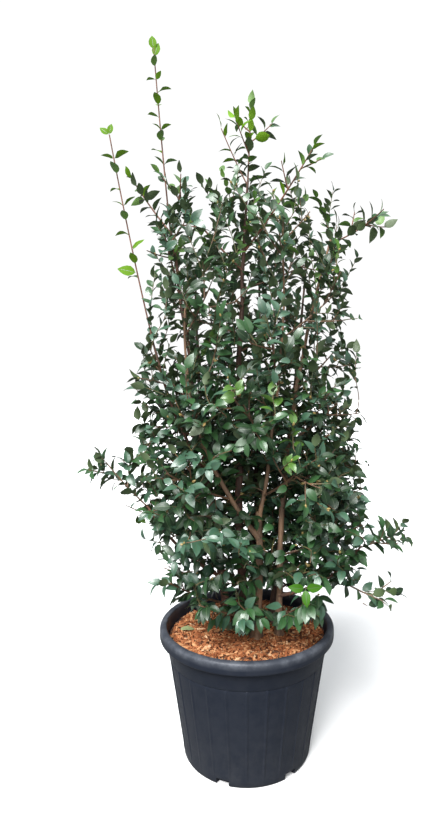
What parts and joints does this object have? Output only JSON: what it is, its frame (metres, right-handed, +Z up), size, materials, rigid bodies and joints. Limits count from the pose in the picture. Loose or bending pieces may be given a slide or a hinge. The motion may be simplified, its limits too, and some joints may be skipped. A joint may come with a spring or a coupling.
{
  "type": "camellia shrub in a nursery pot",
  "caption": "Tall loose evergreen camellia with several stems, leafy masses and long top shoots, in a black round nursery pot topped with bark mulch.",
  "frame": {"origin": "centre of the flat underside of the pot", "axes": "+Z up along the pot's axis, +X to the shrub's right, -Y towards its front"},
  "size_m": [0.8617, 0.6841, 1.8796],
  "materials": {
    "pot": "matte",
    "soil": "rough",
    "mulch": "rough",
    "bark": "satin",
    "foliage": "glossy",
    "young_foliage": "glossy",
    "leaf_under": "matte",
    "bud": "satin"
  },
  "bodies": {
    "root": {"bough_front_left": "bark", "bough_front_right": "bark", "bough_low_left": "bark", "bough_low_right": "bark", "bough_whip": "bark", "foliage_1a": "foliage", "foliage_1b": "foliage", "foliage_1c": "foliage", "foliage_2a": "foliage", "foliage_2b": "foliage", "foliage_2c": "foliage", "foliage_2e": "foliage", "foliage_3a": "foliage", "foliage_3b": "foliage", "foliage_3c": "foliage", "foliage_3d": "foliage", "foliage_3e": "foliage", "foliage_4a": "foliage", "foliage_4b": "foliage", "foliage_4c": "foliage", "foliage_4d": "foliage", "foliage_4e": "foliage", "foliage_5a": "foliage", "foliage_5b": "foliage", "foliage_5c": "foliage", "foliage_5d": "foliage", "foliage_6a": "foliage", "foliage_6b": "foliage", "foliage_6c": "foliage", "foliage_6d": "foliage", "foliage_7a": "foliage", "foliage_7b": "foliage", "foliage_7c": "foliage", "foliage_7d": "foliage", "mulch": "mulch", "pot": "pot", "shoot_leader": "young_foliage", "shoot_left_high": "young_foliage", "shoot_left_low": "young_foliage", "shoot_right_high": "young_foliage", "shoot_right_tips": "young_foliage", "shoot_whip_left": "young_foliage", "shoot_whip_tall": "young_foliage", "soil": "soil", "spray_far_left": "foliage", "spray_far_right": "foliage", "spray_front_left": "foliage", "spray_front_middle": "foliage", "spray_front_right": "foliage", "spray_low_left": "foliage", "spray_low_right": "foliage", "stem_back": "bark", "stem_back_left": "bark", "stem_back_right": "bark", "stem_front": "bark", "stem_leader": "bark", "stem_left": "bark", "stem_right": "bark"}
  },
  "joints": []
}
